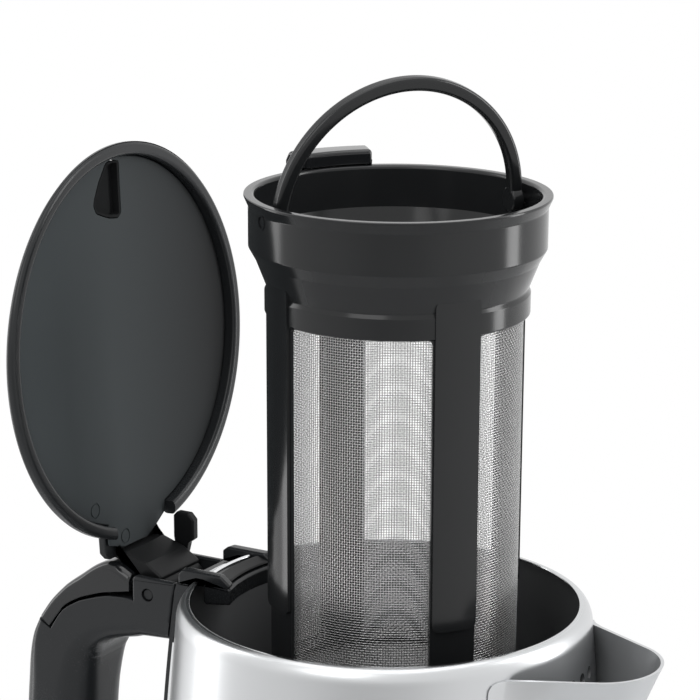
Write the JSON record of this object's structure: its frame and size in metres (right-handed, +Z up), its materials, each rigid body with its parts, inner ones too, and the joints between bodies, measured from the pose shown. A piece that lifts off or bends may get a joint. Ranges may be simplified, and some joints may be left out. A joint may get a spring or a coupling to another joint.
{
  "type": "tea maker",
  "caption": "Automatic tea maker: steel jug with spout, black handle and hinged lid, on a power base, with a woven-wire tea filter raised out of the open jug",
  "frame": {"origin": "centre of the footprint box, on the table", "axes": "+X toward the spout, +Y to the far side of the picture, +Z up"},
  "size_m": [0.1955, 0.1616, 0.3682],
  "materials": {
    "jug_steel": "brushed, softly reflecting",
    "bright_steel": "polished",
    "woven_wire": "fine woven wire",
    "heater_aluminium": "rolled",
    "black_satin": "satin, moulded",
    "black_gloss": "glossy",
    "black_matte": "matt",
    "foot_rubber": "matt",
    "display_glass": "dark tinted, glossy",
    "board": "coated",
    "sensor_ceramic": "matt"
  },
  "bodies": {
    "base": {"base_shell": "black_satin", "base_plate": "black_matte", "base_connector": "black_matte", "control_board": "board", "display_window": "display_glass", "foot_front_left": "foot_rubber", "foot_front_right": "foot_rubber", "foot_back_left": "foot_rubber", "foot_back_right": "foot_rubber"},
    "jug": {"jug_body": "jug_steel", "spout": "jug_steel", "jug_skirt": "black_satin", "heater_plate": "heater_aluminium", "heating_ring": "bright_steel", "sensor_block": "sensor_ceramic", "jug_connector": "black_matte", "handle_trim": "bright_steel", "handle_strip": "black_satin", "handle_grip": "black_satin", "hinge_cap": "black_satin", "hinge_pin": "black_matte", "lid_saddle": "black_satin", "saddle_face": "black_gloss", "saddle_bar": "bright_steel"},
    "lid": {"lid_cover": "black_satin", "lid_inner_plate": "black_satin", "latch_pocket": "black_matte", "lid_top_disc": "jug_steel"},
    "filter": {"filter_frame": "black_satin", "filter_mesh": "woven_wire", "filter_floor_mesh": "woven_wire", "filter_tab": "black_gloss"},
    "bail": {"bail_handle": "black_satin"},
    "release_button": {"release_button": "black_gloss"},
    "dial": {"control_dial": "black_gloss"},
    "brew_key": {"brew_key": "black_gloss"},
    "warm_key": {"warm_key": "black_gloss"},
    "timer_key": {"timer_key": "black_gloss"},
    "power_key": {"power_key": "black_gloss"}
  },
  "joints": [
    {"name": "jug_lift", "type": "slide", "parent": "base", "child": "jug", "axis": [0, 0, 1], "range_m": [0, 0.12]},
    {"name": "lid_hinge", "type": "hinge", "parent": "jug", "child": "lid", "pos_m": [-0.0514, 0, 0.2198], "axis": [0, 1, 0], "range_deg": [0, 93.5]},
    {"name": "filter_lift", "type": "slide", "parent": "jug", "child": "filter", "axis": [0, 0, -1], "range_m": [0, 0.16]},
    {"name": "bail_fold", "type": "hinge", "parent": "filter", "child": "bail", "pos_m": [0.02, 0, 0.3331], "axis": [0.5519, 0.8339, 0], "range_deg": [-100, 80]},
    {"name": "button_press", "type": "hinge", "parent": "jug", "child": "release_button", "pos_m": [-0.0861, 0, 0.20689], "axis": [0, 1, 0], "range_deg": [0, 2], "stiffness_Nm_per_rad": 0.8},
    {"name": "dial_turn", "type": "hinge", "parent": "base", "child": "dial", "pos_m": [0.0168, -0.07372, 0.01522], "axis": [0, -0.6783, 0.7348], "range_deg": [-135, 135]},
    {"name": "brew_key_press", "type": "slide", "parent": "base", "child": "brew_key", "axis": [0.3247, 0.5955, -0.7348], "range_m": [0, 0.001], "stiffness_N_per_m": 300},
    {"name": "warm_key_press", "type": "slide", "parent": "base", "child": "warm_key", "axis": [0.1824, 0.6533, -0.7348], "range_m": [0, 0.001], "stiffness_N_per_m": 300},
    {"name": "timer_key_press", "type": "slide", "parent": "base", "child": "timer_key", "axis": [-0.1824, 0.6533, -0.7348], "range_m": [0, 0.001], "stiffness_N_per_m": 300},
    {"name": "power_key_press", "type": "slide", "parent": "base", "child": "power_key", "axis": [-0.3247, 0.5955, -0.7348], "range_m": [0, 0.001], "stiffness_N_per_m": 300}
  ],
  "couplings": [
    {"joint": "filter_lift", "follows": "lid_hinge", "m_per_rad": 0.098046}
  ]
}
